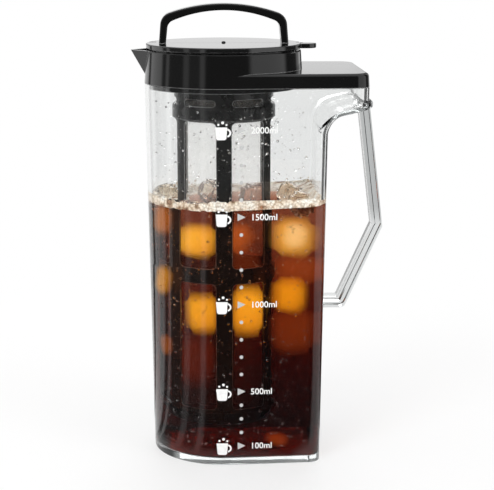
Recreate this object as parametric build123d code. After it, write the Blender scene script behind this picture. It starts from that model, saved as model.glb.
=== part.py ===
"""Cold brew coffee maker: a clear tapered jug with a bar handle, a black pour lid with a
turning cap and bail, and a black-framed mesh filter basket that hangs in the jug.

Millimetres, +Z up. The origin is on the lid and basket axis, at the height of the base.
The spout points to -X and the handle to +X.
"""
import math
import os

from build123d import *

# ---- clearances -------------------------------------------------------------------------
SEAT_GAP = 0.3          # between bodies that rest on each other
SLIP_GAP = 0.3          # between bodies that slide past each other
SNUG_GAP = 0.05         # between pieces of one body that are snapped or pressed together
SEAL_GAP = 0.08         # a soft seal against the wall that it wipes

# ---- jug --------------------------------------------------------------------------------
BASE_RADIUS = 47.5      # rounded spout end of the footprint
BASE_REACH = 60.8       # from the axis to the handle-side end of the footprint
BASE_CORNER = 7.5       # plan radius of the two handle-side corners
FLANK_ANGLE = 2.3       # the flanks close in towards the handle, degrees
DRAFT = 0.88            # the walls lean outwards, degrees
JUG_HEIGHT = 245.0
JUG_WALL = 2.8
FLOOR = 3.6
BASE_ROUND = 0.6        # rounding of the bottom edge
FLOOR_ROUND = 2.5       # rounding inside, between floor and wall

# ---- shoulder under the lid's shelf -----------------------------------------------------
SHELF_REACH = 90.0      # from the axis to the handle-side end of lid and shoulder
SHELF_CORNER = 11.0
SHOULDER_DEPTH = 13.2   # height of its end wall, below the rim
SHOULDER_SLOPE = 13.5   # its underside falls towards the jug, degrees
SHOULDER_SWEEP = 15.0   # radius where the underside turns down into the wall
BEAD_STAND = 1.6        # bead along the bottom of the end wall
BEAD_HEIGHT = 4.4
BEAD_LIFT = 0.2         # from the end wall's bottom edge to the bead
BEAD_ROUND = 1.98
SHOULDER_BLOCK = 50.0   # height of the block that the shoulder is cut from
SWEEP_BITE = 0.1        # the sweep starts this far inside the wall
FAN_SEAM = 150.0        # azimuth of the seam of the swept corners, clear of the flat faces

# ---- rim joint between jug and lid ------------------------------------------------------
RIM_HEIGHT = 3.0        # upstand of the jug's inner half wall
LAP_WALL = 1.3          # lid skirt outside the upstand
GASKET_HEIGHT = 1.6

# ---- handle -----------------------------------------------------------------------------
BAR_THICK = 6.9
BAR_WIDTH = 16.5
BAR_BEVEL = 2.4         # on the finger side
BAR_EDGE = 1.0          # on the outer side
BAR_BITE = 4.0          # the bar's foot starts this far inside the jug's end wall
TOP_STAND, TOP_DROP = 0.9, 11.8     # top of the bar: past the shelf's end, below the rim
KINK_STAND, KINK_SHARE = 10.9, 0.6139   # kink: past the shelf's end, share of the jug's height
KNEE_STAND, KNEE_SHARE = 16.5, 0.4012   # knee: past the base's end, share of the jug's height
PAD_SIZE = (11.0, 19.0, 6.0)        # weld pad at the top of the bar, X Y Z
PAD_STAND, PAD_DROP = 1.2, 14.1
PAD_ROUND = 2.4
KNEE_ROUND, KINK_ROUND = 4.0, 1.5

# ---- lid collar -------------------------------------------------------------------------
COLLAR_HEIGHT = 21.2
COLLAR_DRAFT = 3.73     # collar and shelf close in upwards, degrees
SHELF_HEIGHT = 8.9
SHELF_ROUND = 2.4
LID_PLATE = 2.0
LIP_MARGIN = 0.15       # the lid is hollow from this far inside the jug's wall
BORE_WALL = 2.0         # the collar's inner wall, just inside the jug's
BORE_LEDGE = 1.2        # the bore steps out by this much for the cap
BORE_STEP = 8.5         # height of the step above the collar's lower edge
PLUG_SKIRT = 3.2        # the collar's skirt reaches this far into the jug
COLLAR_ROUND = 0.8      # top edge of the collar
LID_FLOOR = 2.0
SEAT_WALL = 1.4
SEAT_SKIRT = 4.2        # the wall round the basket's seat reaches this far down
POUR_EDGE = 1.8         # solid strip between the slots and the bore's wall
POUR_WIDTH = 6.8
POUR_SLOTS = 7
POUR_SLOT_ANGLE = 12.0
POUR_PITCH = 15.5
VENT_WIDTH = 3.0
VENT_ANGLE = 30.0

# ---- spout ------------------------------------------------------------------------------
SPOUT_STAND = 10.5      # the tip stands out this far from the collar's top
SPOUT_HALF_WIDTH = 17.0
SPOUT_BITE = 4.9        # its root is this far inside the collar's top
SPOUT_KEEL_SLOPE = 1.7  # drop per run of the keel line, from the tip to the collar
SPOUT_WALL = 1.5
SPOUT_TIP_ROUND = 1.6
SPOUT_INNER_ROUND = 0.85
SPOUT_KEEL_WALL = 3.0   # measured upwards at the keel's lowest point

# ---- cap --------------------------------------------------------------------------------
CAP_OVERHANG = 0.1      # the disc is this much wider than the collar's top
CAP_THICK = 3.4
CAP_GAP = 0.7
CAP_ROUND = 0.7
PLUG_WALL = 2.0
PLUG_ROOF = 1.5
PLUG_FOOT = 2.2         # the plug ends this far above the lid floor
WINDOW_ANGLE = 34.0
WINDOW_SILL = 9.6       # above the lid floor
WINDOW_HEIGHT = 8.6
WINDOW_BARS = 5
WINDOW_BAR = (1.6, 1.2)     # radial, along the rim
HOLD_STAND = 2.4        # ring over the basket's flange, outside the basket's wall
HOLD_WALL = 1.6
SEAL_HEIGHT = 2.4
SEAL_DEPTH = 1.2
SEAL_RISE = 2.0         # from the plug's foot to the seal
SEAL_ROUND = 0.7
TAB_LENGTH = 10.0       # the tab stands out this far from the disc
TAB_WIDTH = 13.0
TAB_DROP = 0.3          # from the top of the disc to the top of the tab
MARK_LENGTH, MARK_WIDTH, MARK_CORNER = 4.8, 4.4, 1.8
MARK_DEPTH = 1.0
MARKS = ((169.5, -3.6), (3.8, -0.4))    # azimuth, and place from the disc's edge
RIDGE_LENGTH, RIDGE_WIDTH, RIDGE_DEPTH = 70.0, 0.7, 0.35

# ---- bail -------------------------------------------------------------------------------
BAIL_INSET = 8.4        # from the disc's edge to the outside of the legs
BAIL_LEAN = 1.4         # the legs close in by this much towards the top
BAIL_RISE = 25.2        # crown above the cap
BAIL_CORNER_RISE = 17.4
BAIL_LEG = 4.5
BAIL_CROWN = 4.3
BAIL_WIDTH = 13.0
BAIL_OUTER_ROUND = 8.5
BAIL_INNER_ROUND = 5.5
BAIL_EDGE = 1.25
TONGUE_WIDTH, TONGUE_THICK, TONGUE_DROP = 8.0, 2.6, 1.6
TONGUE_HOOK = 0.9
HOOK_THICK = 1.4
HOOK_ROOM = 0.5         # space round the hooks in the plug

# ---- vent plug --------------------------------------------------------------------------
VENT_HEAD, VENT_HEAD_RISE = 1.3, 0.9
VENT_CROWN, VENT_CROWN_RISE = 0.7, 0.5  # radius of its flat top, and height of its straight side
VENT_STEM = 0.9
VENT_FLANGE, VENT_FLANGE_THICK = 2.2, 1.0

# ---- filter basket ----------------------------------------------------------------------
BASKET_RADIUS = 32.2
BASKET_WALL = 1.6
BASKET_CLEAR = 19.4     # from the jug's floor to the underside of the cup
BASKET_FOOT_RADIUS = 28.0
BASKET_FLOOR = 2.0
CUP_HEIGHT = 11.1
CUP_CONE = 8.4          # height over which the cup widens from its foot
MID_HEIGHT = 10.0
MID_SHARE = 0.4753      # place of the middle ring, as a share of the open height
COLLAR_DEPTH = 23.4     # solid ring under the flange, down to the windows
BAND_STAND = 1.3        # the band stands out from the wall
BAND_DROPS = (22.9, 15.2)   # its edges, below the flange
BAND_STEP, BAND_TAPER = 0.8, 3.0    # height over which it stands out, at its foot and its top
NECK_RISE = 2.0         # height of the cone under the flange
FLANGE_STAND = 3.2      # the flange reaches over the seat
FLANGE_THICK = 1.8
RIBS = 6
RIB_WIDTH = 9.9
RIB_START = -92.0       # azimuth of the first rib, degrees
PANEL_CORNER = 3.0
SLOT_LENGTH, SLOT_WIDTH = 22.4, 4.4
SLOT_DROP = 11.4        # centre of the slots, below the flange
MESH_THICK = 0.4
MESH_DROP = 15.1        # top of the mesh, below the flange

NEAR = 1.0              # how close an edge's middle is to the point that picks it
TOUCH = 0.01            # heights closer than this are the same

# ---- worked out from the values above ---------------------------------------------------
LEAN = math.tan(math.radians(DRAFT))
RIM_RADIUS = BASE_RADIUS + JUG_HEIGHT * LEAN
RIM_INSET = LAP_WALL + SLIP_GAP
COLLAR_LEAN = math.tan(math.radians(COLLAR_DRAFT))
COLLAR_TOP = JUG_HEIGHT + COLLAR_HEIGHT
COLLAR_TOP_RADIUS = RIM_RADIUS - (COLLAR_HEIGHT - SEAT_GAP) * COLLAR_LEAN
LOWER_BORE = RIM_RADIUS - JUG_WALL - SLIP_GAP - BORE_WALL
CAP_BORE = LOWER_BORE + BORE_LEDGE
CAP_RADIUS = COLLAR_TOP_RADIUS + CAP_OVERHANG
CAP_Z = COLLAR_TOP + CAP_GAP
CAP_TOP = CAP_Z + CAP_THICK
LID_Z = JUG_HEIGHT + SEAT_GAP
SEAT_Z = LID_Z
FLANGE_Z = SEAT_Z + SEAT_GAP
PLUG_Z = SEAT_Z + PLUG_FOOT
STEP_Z = LID_Z + BORE_STEP
SEAL_Z = PLUG_Z + SEAL_RISE
PLUG_UPPER = CAP_BORE - SLIP_GAP
PLUG_LOWER = LOWER_BORE - SLIP_GAP
GROOVE_TOP = LID_Z + RIM_HEIGHT + GASKET_HEIGHT
SPOUT_REACH = COLLAR_TOP_RADIUS + SPOUT_STAND
SPOUT_ROOT = COLLAR_TOP_RADIUS - SPOUT_BITE
BAIL_FOOT = CAP_RADIUS - BAIL_INSET
BAIL_SHOULDER = BAIL_FOOT - BAIL_LEAN
HANDLE_TOP = (SHELF_REACH + TOP_STAND, JUG_HEIGHT - TOP_DROP)
HANDLE_KINK = (SHELF_REACH + KINK_STAND, JUG_HEIGHT * KINK_SHARE)
HANDLE_KNEE = (BASE_REACH + KNEE_STAND, JUG_HEIGHT * KNEE_SHARE)
BAND_RADIUS = BASKET_RADIUS + BAND_STAND
SEAT_BORE = BAND_RADIUS + SLIP_GAP
FLANGE_RADIUS = SEAT_BORE + FLANGE_STAND
POUR_OUTER = LOWER_BORE - POUR_EDGE
POUR_INNER = POUR_OUTER - POUR_WIDTH
HOLD_RADIUS = BASKET_RADIUS + HOLD_STAND
BASKET_BOTTOM = FLOOR + BASKET_CLEAR
CUP_TOP = BASKET_BOTTOM + CUP_HEIGHT
PANEL_TOP = FLANGE_Z - COLLAR_DEPTH
MID_Z = CUP_TOP + MID_SHARE * (PANEL_TOP - CUP_TOP)
MID_RING = (MID_Z - MID_HEIGHT / 2, MID_Z + MID_HEIGHT / 2)
BAND = (FLANGE_Z - BAND_DROPS[0], FLANGE_Z - BAND_DROPS[1])


def outline(radius, reach, corner, inset=0.0):
    """Plan of the jug: a round spout end, straight flanks closing in, two rounded corners."""
    r, end, c = radius - inset, reach - inset, corner - inset
    a = math.radians(FLANK_ANGLE)
    sin_a, cos_a = math.sin(a), math.cos(a)
    touch = (r * sin_a, r * cos_a)
    cx = end - c
    cy = (r - c - sin_a * cx) / cos_a
    start = (cx + c * sin_a, cy + c * cos_a)
    half = (math.pi / 2 - a) / 2
    middle = (cx + c * math.cos(half), cy + c * math.sin(half))
    far_touch, far_start, far_middle = ((x, -y) for x, y in (touch, start, middle))
    edges = [
        ThreePointArc(touch, (-r, 0), far_touch),
        Line(far_touch, far_start),
        ThreePointArc(far_start, far_middle, (end, -cy)),
        Line((end, -cy), (end, cy)),
        ThreePointArc((end, cy), middle, start),
        Line(start, touch),
    ]
    return make_face(Curve() + edges)


def prism(face, low, high, taper=0.0):
    """Extrude a plan face from one height to another."""
    return extrude(Pos(0, 0, low) * face, high - low, taper=taper)


def ring(outer, inner, low, high):
    return Pos(0, 0, low) * (
        Cylinder(outer, high - low, align=(Align.CENTER, Align.CENTER, Align.MIN))
        - Cylinder(inner, high - low, align=(Align.CENTER, Align.CENTER, Align.MIN))
    )


def disc(radius, low, high):
    return Pos(0, 0, low) * Cylinder(
        radius, high - low, align=(Align.CENTER, Align.CENTER, Align.MIN)
    )


def wall_reach(height):
    """Distance from the axis to the outside of the handle-side wall."""
    return BASE_REACH + height * LEAN


def corner_centre():
    """Plan centre of the jug's handle-side corners, the same at every height."""
    angle = math.radians(FLANK_ANGLE)
    x = BASE_REACH - BASE_CORNER
    return x, (BASE_RADIUS - BASE_CORNER - math.sin(angle) * x) / math.cos(angle)


def above_underside(inset):
    """The space above the shoulder's underside: swept out of the end wall and its corners."""
    tilt = math.radians(SHOULDER_SLOPE)
    slope = math.tan(tilt)
    edge_z = JUG_HEIGHT - SHOULDER_DEPTH + inset / math.cos(tilt)
    low = JUG_HEIGHT - SHOULDER_BLOCK
    wall_x = wall_reach(edge_z - (SHELF_REACH - BASE_REACH) * slope) - inset - SWEEP_BITE
    corner_x, corner_y = corner_centre()
    turn_z = edge_z - (SHELF_REACH - wall_x) * slope
    low_x = wall_reach(low) - inset - SWEEP_BITE
    far = SHELF_REACH + SHELF_CORNER
    profile = make_face(
        Polyline(
            (0, JUG_HEIGHT), (0, low), (low_x - corner_x, low), (wall_x - corner_x, turn_z),
            (far - corner_x, edge_z + (far - SHELF_REACH) * slope), (far - corner_x, JUG_HEIGHT),
            close=True,
        )
    )
    turn = profile.vertices().sort_by_distance((wall_x - corner_x, turn_z, 0))[0]
    profile = Plane.XZ * fillet(turn, SHOULDER_SWEEP + inset)
    fan = Rot(0, 0, FAN_SEAM) * revolve(profile, Axis.Z)
    space = Pos(corner_x, 0, 0) * extrude(profile, corner_y, both=True)
    return space + Pos(corner_x, corner_y, 0) * fan + Pos(corner_x, -corner_y, 0) * fan


def with_shoulder(body, inset):
    """Carry the drafted walls out to the end of the shelf, above the swept underside."""
    low = JUG_HEIGHT - SHOULDER_BLOCK
    shrink = SHOULDER_BLOCK * LEAN
    plan = outline(RIM_RADIUS - shrink, SHELF_REACH - shrink, SHELF_CORNER - shrink, inset)
    block = prism(plan, low, JUG_HEIGHT, -DRAFT)
    return body + (block & above_underside(inset))


def jug_outer():
    body = prism(outline(BASE_RADIUS, BASE_REACH, BASE_CORNER), 0, JUG_HEIGHT, -DRAFT)
    body = with_shoulder(body, 0)
    bead_z = JUG_HEIGHT - SHOULDER_DEPTH + BEAD_LIFT
    bead = prism(
        outline(RIM_RADIUS - (JUG_HEIGHT - bead_z) * LEAN, SHELF_REACH + BEAD_STAND, SHELF_CORNER),
        bead_z,
        bead_z + BEAD_HEIGHT,
    )
    bead = fillet(bead.faces().filter_by(Plane.XY).edges(), BEAD_ROUND)
    bead &= Pos(SHELF_REACH, 0, bead_z) * Box(
        2 * SHELF_CORNER, 3 * RIM_RADIUS, 4 * BEAD_HEIGHT
    )
    return body + bead


def jug_void():
    bottom = outline(BASE_RADIUS + FLOOR * LEAN, BASE_REACH + FLOOR * LEAN, BASE_CORNER, JUG_WALL)
    body = prism(bottom, FLOOR, JUG_HEIGHT, -DRAFT)
    body = fillet(body.faces().sort_by(Axis.Z)[0].edges(), FLOOR_ROUND)
    return with_shoulder(body, JUG_WALL)


def make_jug():
    outer = jug_outer()
    outer = fillet(outer.faces().sort_by(Axis.Z)[0].edges(), BASE_ROUND)
    jug = outer - jug_void()
    rim = outline(RIM_RADIUS, SHELF_REACH, SHELF_CORNER, RIM_INSET)
    rim -= outline(RIM_RADIUS, SHELF_REACH, SHELF_CORNER, JUG_WALL)
    return jug + prism(rim, JUG_HEIGHT, JUG_HEIGHT + RIM_HEIGHT)


def bar_polygon(points, width):
    """Both sides of a bent bar with sharp mitres, from its centre line."""
    left, right = [], []
    for i, p in enumerate(points):
        before = points[i - 1] if i else None
        after = points[i + 1] if i + 1 < len(points) else None
        normals = []
        for a, b in ((before, p), (p, after)):
            if a and b:
                dx, dz = b[0] - a[0], b[1] - a[1]
                n = math.hypot(dx, dz)
                normals.append((-dz / n, dx / n))
        nx = sum(n[0] for n in normals) / len(normals)
        nz = sum(n[1] for n in normals) / len(normals)
        k = width / 2 / (nx * nx + nz * nz)
        left.append((p[0] + nx * k, p[1] + nz * k))
        right.append((p[0] - nx * k, p[1] - nz * k))
    return left, right


def middles(line):
    """Middles of the legs of a polyline."""
    return [((a[0] + b[0]) / 2, (a[1] + b[1]) / 2) for a, b in zip(line[:-1], line[1:])]


def edges_near(edges, points):
    """The edges whose middle is near one of the points, given as X and Z."""
    return [
        e for e in edges
        if any(math.hypot(e.center().X - x, e.center().Z - z) < NEAR for x, z in points)
    ]


def make_handle(outer):
    foot = (BASE_REACH - BAR_BITE, HANDLE_KNEE[1])
    inside, outside = bar_polygon([foot, HANDLE_KNEE, HANDLE_KINK, HANDLE_TOP], BAR_THICK)
    face = make_face(Polyline(*inside, *reversed(outside), close=True))
    knee = face.vertices().sort_by_distance((*outside[1], 0))[0]
    face = fillet(knee, KNEE_ROUND)
    kink = face.vertices().sort_by_distance((*outside[2], 0))[0]
    face = fillet(kink, KINK_ROUND)
    bar = extrude(Plane.XZ * face, BAR_WIDTH / 2, both=True)
    rims = bar.faces().filter_by(Axis.Y).edges()
    finger = edges_near(rims, middles(inside))
    ends = edges_near(rims, middles([inside[0], outside[0]]) + middles([inside[-1], outside[-1]]))
    back = [(e.center().X, e.center().Z) for e in rims if e not in finger and e not in ends]
    bar = chamfer(finger, BAR_BEVEL)
    bar = chamfer(edges_near(bar.faces().filter_by(Axis.Y).edges(), back), BAR_EDGE)
    pad = Pos(SHELF_REACH + PAD_STAND, 0, JUG_HEIGHT - PAD_DROP) * Box(*PAD_SIZE)
    pad = fillet(pad.edges(), PAD_ROUND)
    return (bar + pad) - outer


def lid_shape():
    """Outside of the lid: shelf, collar and spout, before it is hollowed."""
    low = LID_Z
    plan = outline(RIM_RADIUS, SHELF_REACH, SHELF_CORNER)
    shelf = prism(plan, low, low + SHELF_HEIGHT, COLLAR_DRAFT)
    shelf = fillet(shelf.faces().sort_by(Axis.Z)[-1].edges(), SHELF_ROUND)
    collar = Pos(0, 0, low) * Cone(
        RIM_RADIUS, COLLAR_TOP_RADIUS, COLLAR_TOP - low,
        align=(Align.CENTER, Align.CENTER, Align.MIN),
    )
    collar = fillet(collar.faces().sort_by(Axis.Z)[-1].edges(), COLLAR_ROUND)
    return shelf + collar


def spout_body(inset, tip_round, keel_wall):
    """A pointed beak: its rim is a triangle, drawn down to one point inside the collar."""
    top = COLLAR_TOP
    length = SPOUT_REACH - SPOUT_ROOT
    spread = inset / math.sin(math.atan2(SPOUT_HALF_WIDTH, length))
    half = SPOUT_HALF_WIDTH * (length - spread) / length
    rim = Polyline(
        (-SPOUT_REACH + spread, 0), (-SPOUT_ROOT, half), (-SPOUT_ROOT, -half), close=True
    )
    face = make_face(rim)
    tip = face.vertices().sort_by(Axis.X)[0]
    face = fillet(tip, tip_round)
    drop = length * SPOUT_KEEL_SLOPE
    point = Vertex(-SPOUT_ROOT, 0, top - drop + keel_wall)
    return loft([Pos(0, 0, top) * face, point])


def make_lid():
    low, top = LID_Z, COLLAR_TOP
    body = lid_shape() + spout_body(0, SPOUT_TIP_ROUND, 0)
    plan = (RIM_RADIUS, SHELF_REACH, SHELF_CORNER)
    groove = prism(outline(*plan, LAP_WALL), low, GROOVE_TOP)
    hollow = prism(outline(*plan, JUG_WALL + LIP_MARGIN), low, low + SHELF_HEIGHT - LID_PLATE)
    inner_wall = LOWER_BORE + BORE_WALL
    body -= (groove + hollow) - disc(inner_wall, low, top)
    body += disc(inner_wall, low - PLUG_SKIRT, low)
    body -= disc(LOWER_BORE, low, STEP_Z)
    body -= disc(CAP_BORE, STEP_Z, top)
    body -= spout_body(SPOUT_WALL, SPOUT_INNER_ROUND, SPOUT_KEEL_WALL)
    body -= disc(LOWER_BORE, low - 2 * PLUG_SKIRT, low - LID_FLOOR)
    boss = ring(SEAT_BORE + SEAT_WALL, SEAT_BORE, low - SEAT_SKIRT, low)
    body = body - disc(SEAT_BORE, low - LID_FLOOR, low) + boss
    for i in range(POUR_SLOTS):
        turn = 180 + (i - (POUR_SLOTS - 1) / 2) * POUR_PITCH
        body -= sector(POUR_INNER, POUR_OUTER, turn, POUR_SLOT_ANGLE, low - LID_FLOOR, low)
    body -= sector(POUR_OUTER - VENT_WIDTH, POUR_OUTER, 0, VENT_ANGLE, low - LID_FLOOR, low)
    return body


def sector(inner, outer, turn, angle, low, high):
    """A piece of a ring, centred on one azimuth."""
    half = math.radians(angle / 2)
    far = outer * 2
    wedge = make_face(
        Polyline(
            (0, 0), (far * math.cos(half), -far * math.sin(half)),
            (far * math.cos(half), far * math.sin(half)), close=True,
        )
    )
    piece = prism(wedge, low, high) & ring(outer, inner, low, high)
    return Rot(0, 0, turn) * piece


def make_lid_gasket():
    plan = (RIM_RADIUS, SHELF_REACH, SHELF_CORNER)
    face = outline(*plan, LAP_WALL + SNUG_GAP) - outline(*plan, JUG_WALL + LIP_MARGIN - SNUG_GAP)
    body = prism(face, GROOVE_TOP - GASKET_HEIGHT, GROOVE_TOP)
    return body


def make_cap_disc():
    body = disc(CAP_RADIUS, CAP_Z, CAP_TOP)
    body = fillet(body.edges().filter_by(GeomType.CIRCLE), CAP_ROUND)
    tab = SlotOverall(2 * TAB_WIDTH, TAB_WIDTH)
    tab = Pos(CAP_RADIUS + TAB_LENGTH - TAB_WIDTH, 0) * tab
    tab_top = CAP_TOP - TAB_DROP
    tab = prism(tab, CAP_Z, tab_top)
    tab = fillet(tab.faces().filter_by(Axis.Z).edges(), CAP_ROUND)
    body += tab
    mark = prism(RectangleRounded(MARK_LENGTH, MARK_WIDTH, MARK_CORNER), -MARK_DEPTH, MARK_DEPTH)
    for turn, place in MARKS:
        body -= Rot(0, 0, turn) * Pos(CAP_RADIUS + place, 0, CAP_TOP) * mark
    line = Box(RIDGE_LENGTH, RIDGE_WIDTH, 2 * RIDGE_DEPTH)
    body -= Pos(0, 0, CAP_TOP) * line
    for side in (-1, 1):
        slot = Box(TONGUE_THICK + 2 * SNUG_GAP, TONGUE_WIDTH + 2 * SNUG_GAP, 4 * CAP_THICK)
        body -= Pos(side * (BAIL_FOOT - BAIL_LEG / 2), 0, CAP_Z) * slot
    body -= disc(VENT_STEM + SNUG_GAP, CAP_Z, CAP_TOP)
    return body


def make_cap_plug():
    body = ring(PLUG_UPPER, PLUG_UPPER - PLUG_WALL, STEP_Z + SEAT_GAP, CAP_Z)
    body += ring(PLUG_LOWER, PLUG_LOWER - PLUG_WALL, PLUG_Z, STEP_Z + SEAT_GAP + PLUG_WALL)
    body -= ring(PLUG_UPPER, PLUG_LOWER - SEAL_DEPTH, SEAL_Z, SEAL_Z + SEAL_HEIGHT)
    body += ring(HOLD_RADIUS, HOLD_RADIUS - HOLD_WALL, FLANGE_Z + FLANGE_THICK + SEAT_GAP, CAP_Z)
    body += disc(PLUG_UPPER - PLUG_WALL / 2, CAP_Z - PLUG_ROOF, CAP_Z)
    sill = SEAT_Z + WINDOW_SILL
    window = sector(
        PLUG_UPPER - 2 * PLUG_WALL, 2 * PLUG_UPPER, 90, WINDOW_ANGLE, sill, sill + WINDOW_HEIGHT
    )
    body -= window
    for i in range(WINDOW_BARS):
        turn = 90 + (i - (WINDOW_BARS - 1) / 2) * WINDOW_ANGLE / (WINDOW_BARS + 1)
        bar = Pos(PLUG_UPPER - PLUG_WALL / 2, 0, sill + WINDOW_HEIGHT / 2) * Box(
            *WINDOW_BAR, WINDOW_HEIGHT
        )
        body += Rot(0, 0, turn) * bar
    room = Box(
        TONGUE_THICK + 2 * (TONGUE_HOOK + HOOK_ROOM), TONGUE_WIDTH + 2 * HOOK_ROOM,
        2 * (TONGUE_DROP + HOOK_ROOM),
    )
    for side in (-1, 1):
        body -= Pos(side * (BAIL_FOOT - BAIL_LEG / 2), 0, CAP_Z) * room
    body -= disc(VENT_FLANGE + SEAT_GAP, CAP_Z - PLUG_ROOF, CAP_Z)
    return body


def make_cap_seal():
    inner = PLUG_LOWER - SEAL_DEPTH + SNUG_GAP
    outer = LOWER_BORE - SEAL_GAP
    body = ring(outer, inner, SEAL_Z + SNUG_GAP, SEAL_Z + SEAL_HEIGHT - SNUG_GAP)
    rims = body.edges().filter_by(GeomType.CIRCLE)
    return fillet([e for e in rims if e.radius > outer - SNUG_GAP], SEAL_ROUND)


def make_bail():
    base = CAP_TOP
    crown = base + BAIL_RISE
    corner = base + BAIL_CORNER_RISE

    def arch(foot, shoulder, corner_z, crown_z, rounding):
        legs = [(-shoulder, corner_z), (-foot, base), (foot, base), (shoulder, corner_z)]
        top = ThreePointArc((shoulder, corner_z), (0, crown_z), (-shoulder, corner_z))
        face = make_face(Curve() + [*Polyline(*legs).edges(), top])
        for side in (-1, 1):
            vertex = face.vertices().sort_by_distance((side * shoulder, corner_z, 0))[0]
            face = fillet(vertex, rounding)
        return face

    outer = arch(BAIL_FOOT, BAIL_SHOULDER, corner, crown, BAIL_OUTER_ROUND)
    inner = arch(
        BAIL_FOOT - BAIL_LEG, BAIL_SHOULDER - BAIL_LEG, corner - BAIL_CROWN,
        crown - BAIL_CROWN, BAIL_INNER_ROUND,
    )
    strip = extrude(Plane.XZ * (outer - inner), BAIL_WIDTH / 2, both=True)
    rims = strip.faces().filter_by(Axis.Y).edges()
    rims = [e for e in rims if abs(e.center().Z - base) > TOUCH]
    strip = fillet(rims, BAIL_EDGE)
    for side in (-1, 1):
        x = side * (BAIL_FOOT - BAIL_LEG / 2)
        drop = CAP_THICK + TONGUE_DROP
        strip += Pos(x, 0, base - drop / 2) * Box(TONGUE_THICK, TONGUE_WIDTH, drop)
        hook = Box(TONGUE_THICK + 2 * TONGUE_HOOK, TONGUE_WIDTH, HOOK_THICK)
        strip += Pos(x, 0, base - drop + HOOK_THICK / 2) * hook
    return strip


def make_vent_plug():
    flange_low = CAP_Z - SNUG_GAP - VENT_FLANGE_THICK
    profile = make_face(
        Polyline(
            (0, flange_low), (VENT_FLANGE, flange_low),
            (VENT_FLANGE, CAP_Z - SNUG_GAP), (VENT_STEM, CAP_Z - SNUG_GAP),
            (VENT_STEM, CAP_TOP + SNUG_GAP), (VENT_HEAD, CAP_TOP + SNUG_GAP),
            (VENT_HEAD, CAP_TOP + VENT_CROWN_RISE),
            (VENT_CROWN, CAP_TOP + VENT_HEAD_RISE), (0, CAP_TOP + VENT_HEAD_RISE),
            close=True,
        )
    )
    return revolve(Plane.XZ * profile, Axis.Z)


def make_basket():
    inner = BASKET_RADIUS - BASKET_WALL
    top = FLANGE_Z + FLANGE_THICK
    cup_round = BASKET_BOTTOM + CUP_CONE
    outer = Polyline(
        (0, BASKET_BOTTOM), (BASKET_FOOT_RADIUS, BASKET_BOTTOM),
        (BASKET_RADIUS, cup_round), (BASKET_RADIUS, BAND[0]),
        (BAND_RADIUS, BAND[0] + BAND_STEP), (BAND_RADIUS, BAND[1]),
        (BASKET_RADIUS, BAND[1] + BAND_TAPER), (BASKET_RADIUS, FLANGE_Z - NECK_RISE),
        (BAND_RADIUS, FLANGE_Z), (FLANGE_RADIUS, FLANGE_Z), (FLANGE_RADIUS, top),
        (inner, top), (inner, cup_round),
        (BASKET_FOOT_RADIUS - BASKET_WALL, BASKET_BOTTOM + BASKET_FLOOR),
        (0, BASKET_BOTTOM + BASKET_FLOOR), close=True,
    )
    body = revolve(Plane.XZ * make_face(outer), Axis.Z)
    half_open = math.pi / RIBS - math.asin(RIB_WIDTH / 2 / BASKET_RADIUS)
    width = 2 * BASKET_RADIUS * math.sin(half_open)
    for low, high in ((CUP_TOP, MID_RING[0]), (MID_RING[1], PANEL_TOP)):
        window = extrude(
            Plane.YZ * Pos(0, (low + high) / 2) * RectangleRounded(width, high - low, PANEL_CORNER),
            2 * BASKET_RADIUS,
        )
        for i in range(RIBS):
            body -= Rot(0, 0, RIB_START + (i + 0.5) * 360 / RIBS) * window
    slot_face = Plane.YZ * Pos(0, FLANGE_Z - SLOT_DROP) * SlotOverall(SLOT_LENGTH, SLOT_WIDTH)
    slot = extrude(slot_face, 2 * BASKET_RADIUS)
    for i in range(RIBS):
        body -= Rot(0, 0, RIB_START + (i + 0.5) * 360 / RIBS) * slot
    return body


def make_mesh():
    outer = BASKET_RADIUS - BASKET_WALL - SNUG_GAP
    return ring(outer, outer - MESH_THICK, BASKET_BOTTOM + CUP_CONE, FLANGE_Z - MESH_DROP)


def main():
    os.makedirs("parts", exist_ok=True)
    outer = jug_outer()
    pieces = {
        "jug_body": make_jug(),
        "jug_handle": make_handle(outer),
        "lid_collar": make_lid(),
        "lid_gasket": make_lid_gasket(),
        "basket_frame": make_basket(),
        "filter_mesh": make_mesh(),
        "cap_seal": make_cap_seal(),
        "cap_plug": make_cap_plug(),
        "cap_disc": make_cap_disc(),
        "bail_handle": make_bail(),
        "vent_plug": make_vent_plug(),
    }
    for name, shape in pieces.items():
        export_step(shape, f"parts/{name}.step")


main()
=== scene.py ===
"""Looks of the cold brew coffee maker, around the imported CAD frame.

The scene is in metres, in the frame's axes: +Z up, the spout at -X, the handle at +X, the viewer
at -Y. Measures of the object and of its contents are given in millimetres and are turned into metres
where they are used. The camera, the studio and the grain of the materials are given in metres.
"""
import math
import random

import bmesh
import bpy
from mathutils import Matrix, Vector, noise

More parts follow.
